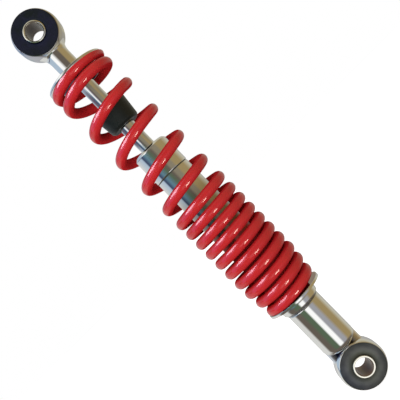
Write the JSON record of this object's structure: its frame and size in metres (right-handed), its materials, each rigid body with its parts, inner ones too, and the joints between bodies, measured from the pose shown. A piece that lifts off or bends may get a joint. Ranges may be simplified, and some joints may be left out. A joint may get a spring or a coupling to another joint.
{
  "type": "rear shock absorber",
  "caption": "Coil-over hydraulic shock absorber with a rubber-bushed eye at each end, a dual-rate red spring, a bump stop on its rod and a chromed damper tube.",
  "frame": {"origin": "centre of the lower eye's bore, halfway along it", "axes": "+Z runs along the rod from the lower eye to the upper eye, +Y along both eyes' bores, +X across"},
  "size_m": [0.0454, 0.0454, 0.3332],
  "materials": {
    "chrome_plate": "polished chrome plate",
    "rod_chrome": "ground hard chrome",
    "sleeve_steel": "turned bright zinc-plated steel",
    "spring_paint": "glossy red powder paint",
    "upper_bush_rubber": "smooth black moulded rubber",
    "lower_bush_rubber": "worn dark grey moulded rubber",
    "stop_rubber": "matt black moulded rubber",
    "seal_rubber": "black nitrile rubber",
    "valve_brass": "turned sintered bronze",
    "drawn_steel": "drawn steel",
    "spring_steel": "oiled spring steel",
    "plated_nut": "zinc-plated steel",
    "piston_alloy": "machined sintered alloy",
    "band_plastic": "filled plastic band"
  },
  "bodies": {
    "damper_body": {"lower_eye": "chrome_plate", "lower_bush": "lower_bush_rubber", "body_tube": "chrome_plate", "foot_valve": "valve_brass", "foot_disc": "spring_steel", "inner_cylinder": "drawn_steel", "gland_cap": "chrome_plate", "body_o_ring": "seal_rubber", "rod_guide": "valve_brass", "seal_washer": "drawn_steel", "rod_seal": "seal_rubber", "dust_wiper": "seal_rubber", "seat_snap_ring": "spring_steel"},
    "spring_carrier": {"lower_spring_seat": "chrome_plate", "main_spring": "spring_paint"},
    "rod_assembly": {"piston_rod": "rod_chrome", "rebound_stop": "stop_rubber", "rebound_clip": "spring_steel", "rebound_shims": "spring_steel", "piston": "piston_alloy", "piston_band": "band_plastic", "compression_shims": "spring_steel", "piston_nut": "plated_nut", "upper_spring_seat": "chrome_plate", "rod_lock_nut": "plated_nut", "upper_eye": "chrome_plate", "upper_bush": "upper_bush_rubber"},
    "bump_stop": {"bump_stop": "stop_rubber"},
    "upper_sleeve": {"upper_sleeve": "sleeve_steel"},
    "lower_sleeve": {"lower_sleeve": "sleeve_steel"}
  },
  "joints": [
    {"name": "swivel", "type": "hinge", "parent": "damper_body", "child": "spring_carrier", "pos_m": [0, 0, 0], "axis": [0, 0, 1], "continuous": true},
    {"name": "rod_slide", "type": "slide", "parent": "spring_carrier", "child": "rod_assembly", "axis": [0, 0, -1], "range_m": [0, 0.038], "stiffness_N_per_m": 25000, "springref_m": -0.005, "deforming": ["main_spring"]},
    {"name": "bump_slide", "type": "slide", "parent": "rod_assembly", "child": "bump_stop", "axis": [0, 0, 1], "range_m": [0, 0.0187]},
    {"name": "upper_bush_twist", "type": "hinge", "parent": "rod_assembly", "child": "upper_sleeve", "pos_m": [0, 0, 0.3], "axis": [0, 1, 0], "range_deg": [-15, 15], "stiffness_Nm_per_rad": 10},
    {"name": "lower_bush_twist", "type": "hinge", "parent": "damper_body", "child": "lower_sleeve", "pos_m": [0, 0, 0], "axis": [0, 1, 0], "range_deg": [-15, 15], "stiffness_Nm_per_rad": 10}
  ],
  "couplings": [
    {"joint": "bump_slide", "follows": "rod_slide", "ratio": 0.49}
  ]
}
